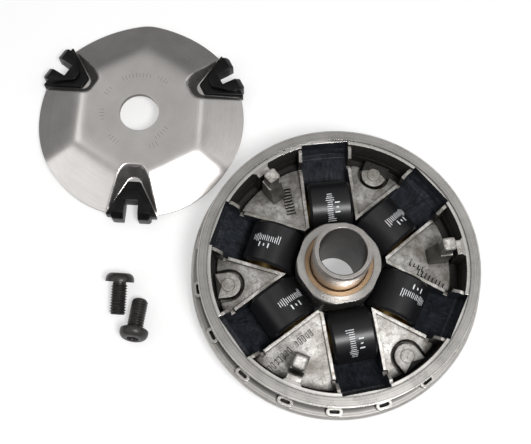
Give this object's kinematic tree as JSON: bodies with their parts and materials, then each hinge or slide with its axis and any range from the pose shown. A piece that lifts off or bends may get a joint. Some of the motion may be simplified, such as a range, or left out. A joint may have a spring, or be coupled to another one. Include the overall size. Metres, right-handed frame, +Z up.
{
  "type": "variator pulley kit",
  "caption": "Movable half of a scooter variator with centrifugal rollers, sliding sleeve, loose ramp plate with slide pieces, and socket screws.",
  "frame": {"origin": "on the pulley axis, at the face that the hub stands on", "axes": "+Z up along the pulley axis, out of the open side of the housing; the ramp plate lies towards -X +Y"},
  "size_m": [0.1695, 0.153, 0.0405],
  "materials": {
    "cast_aluminium": "cast and machined",
    "bronze": "sintered bronze, satin",
    "ground_steel": "ground",
    "satin_steel": "satin, brushed",
    "roller_nylon": "moulded, semi-matt",
    "brass": "turned",
    "guide_plastic": "moulded",
    "black_oxide": "black oxide"
  },
  "bodies": {
    "housing": {"pulley_housing": "cast_aluminium", "hub_bushing": "bronze"},
    "sleeve": {"hub_sleeve": "ground_steel"},
    "roller_1": {"roller_shell_1": "roller_nylon", "roller_core_1": "brass"},
    "roller_2": {"roller_shell_2": "roller_nylon", "roller_core_2": "brass"},
    "roller_3": {"roller_shell_3": "roller_nylon", "roller_core_3": "brass"},
    "roller_4": {"roller_shell_4": "roller_nylon", "roller_core_4": "brass"},
    "roller_5": {"roller_shell_5": "roller_nylon", "roller_core_5": "brass"},
    "roller_6": {"roller_shell_6": "roller_nylon", "roller_core_6": "brass"},
    "plate": {"ramp_plate": "satin_steel", "slider_guide_1": "guide_plastic", "slider_guide_2": "guide_plastic", "slider_guide_3": "guide_plastic"},
    "screw_1": {"button_screw_1": "black_oxide"},
    "screw_2": {"button_screw_2": "black_oxide"}
  },
  "joints": [
    {"name": "sleeve_slide", "type": "slide", "parent": "housing", "child": "sleeve", "axis": [0, 0, 1], "range_m": [0, 0.015]},
    {"name": "roller_1_travel", "type": "hinge", "parent": "housing", "child": "roller_1", "pos_m": [0.01606, 0.01503, 0.0286], "axis": [0.6833, -0.7302, 0], "range_deg": [0, 51.6]},
    {"name": "roller_2_travel", "type": "hinge", "parent": "housing", "child": "roller_2", "pos_m": [-0.00287, 0.02181, 0.0286], "axis": [0.9914, 0.1305, 0], "range_deg": [0, 51.6]},
    {"name": "roller_3_travel", "type": "hinge", "parent": "housing", "child": "roller_3", "pos_m": [-0.02105, 0.0064, 0.0286], "axis": [0.2907, 0.9568, 0], "range_deg": [0, 51.6]},
    {"name": "roller_4_travel", "type": "hinge", "parent": "housing", "child": "roller_4", "pos_m": [-0.01745, -0.01339, 0.0286], "axis": [-0.6088, 0.7934, 0], "range_deg": [0, 51.6]},
    {"name": "roller_5_travel", "type": "hinge", "parent": "housing", "child": "roller_5", "pos_m": [0.00499, -0.02143, 0.0286], "axis": [-0.974, -0.2267, 0], "range_deg": [0, 51.6]},
    {"name": "roller_6_travel", "type": "hinge", "parent": "housing", "child": "roller_6", "pos_m": [0.02033, -0.00842, 0.0286], "axis": [-0.3827, -0.9239, 0], "range_deg": [0, 51.6]},
    {"name": "plate_lift", "type": "slide", "parent": "housing", "child": "plate", "axis": [0, 0, 1], "range_m": [0, 0.06]},
    {"name": "screw_1_lift", "type": "slide", "parent": "housing", "child": "screw_1", "axis": [0, 0, 1], "range_m": [0, 0.06]},
    {"name": "screw_2_lift", "type": "slide", "parent": "housing", "child": "screw_2", "axis": [0, 0, 1], "range_m": [0, 0.06]}
  ],
  "couplings": [
    {"joint": "roller_2_travel", "follows": "roller_1_travel", "ratio": 1},
    {"joint": "roller_3_travel", "follows": "roller_1_travel", "ratio": 1},
    {"joint": "roller_4_travel", "follows": "roller_1_travel", "ratio": 1},
    {"joint": "roller_5_travel", "follows": "roller_1_travel", "ratio": 1},
    {"joint": "roller_6_travel", "follows": "roller_1_travel", "ratio": 1}
  ]
}
